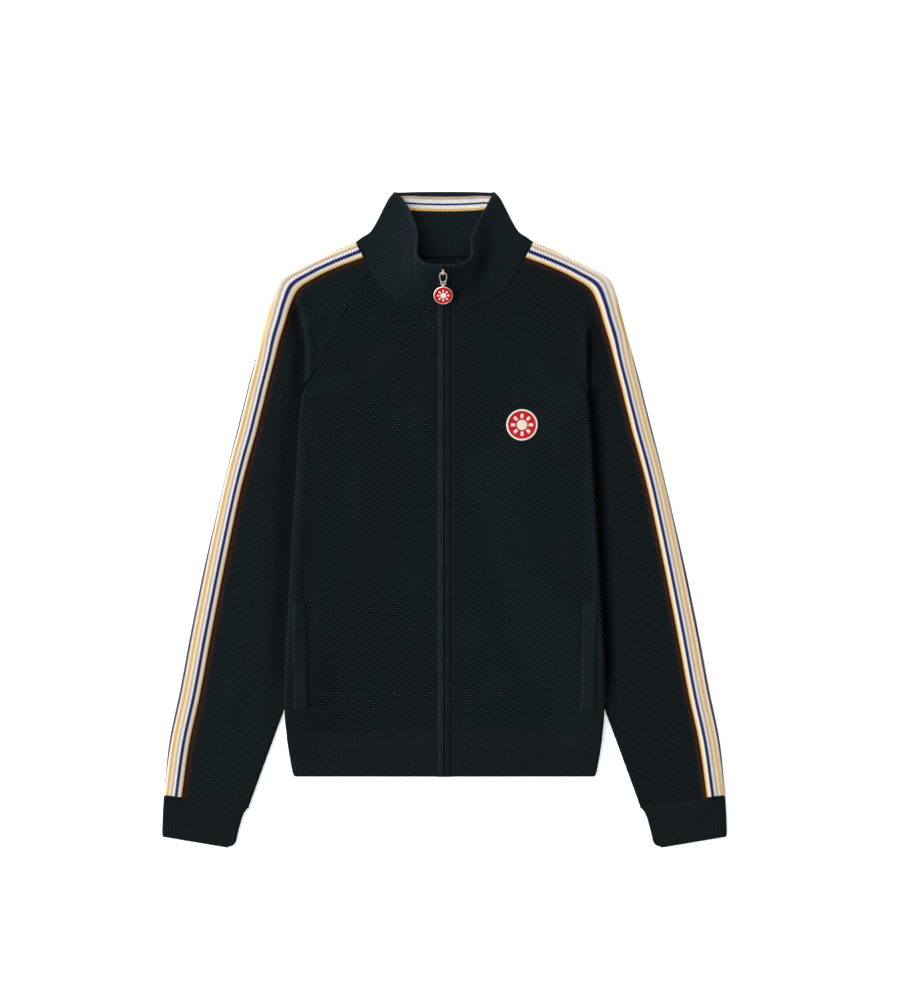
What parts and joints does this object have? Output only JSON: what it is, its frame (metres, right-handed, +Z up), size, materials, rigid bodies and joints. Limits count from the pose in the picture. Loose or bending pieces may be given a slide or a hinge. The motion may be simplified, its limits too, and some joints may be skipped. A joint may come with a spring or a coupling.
{
  "type": "track jacket",
  "caption": "Zip-up track jacket in dark pique knit with a stand collar, raglan sleeves and striped sleeve tape, laid flat on its back with its arms at its sides.",
  "frame": {"origin": "On the surface that the jacket lies on, under the middle of its box", "axes": "+X across the jacket towards the wearer's left sleeve, +Y from the hem to the collar, +Z up out of the front"},
  "size_m": [0.7154, 0.8323, 0.0364],
  "materials": {
    "dark_pique_knit": "matte pique knit in very dark blue-green, raised in small staggered bumps",
    "dark_rib_knit": "matte rib knit in very dark blue-green",
    "striped_tape": "flat knitted tape with lengthwise stripes in cream, pale pink, beige, yellow and navy",
    "zip_tape_black": "matte woven zip tape",
    "gold_metal": "polished pale gold",
    "red_enamel": "glossy red enamel with a gold rim and cream figure",
    "red_patch": "embroidered, red with a cream border and figure"
  },
  "bodies": {
    "jacket": {"back_panel": "dark_pique_knit", "front_left": "dark_pique_knit", "front_right": "dark_pique_knit", "sleeve_left": "dark_pique_knit", "sleeve_right": "dark_pique_knit", "collar": "dark_rib_knit", "hem_band": "dark_rib_knit", "cuff_left": "dark_rib_knit", "cuff_right": "dark_rib_knit", "placket_left": "dark_rib_knit", "placket_right": "dark_rib_knit", "pocket_welt_left": "dark_rib_knit", "pocket_welt_right": "dark_rib_knit", "sleeve_tape_left": "striped_tape", "sleeve_tape_right": "striped_tape", "zip_tape_left": "zip_tape_black", "zip_tape_right": "zip_tape_black", "chest_patch": "red_patch", "zip_slider": "gold_metal"},
    "pull": {"zip_pull": "gold_metal"},
    "charm": {"zip_charm": "red_enamel"}
  },
  "joints": [
    {"name": "pull_hinge", "type": "hinge", "parent": "jacket", "child": "pull", "pos_m": [-0.0015, 0.31144, 0.03347], "axis": [-1, 0, 0], "range_deg": [0, 150]},
    {"name": "charm_hinge", "type": "hinge", "parent": "pull", "child": "charm", "pos_m": [-0.0015, 0.29696, 0.02466], "axis": [-1, 0, 0], "range_deg": [0, 110]}
  ]
}
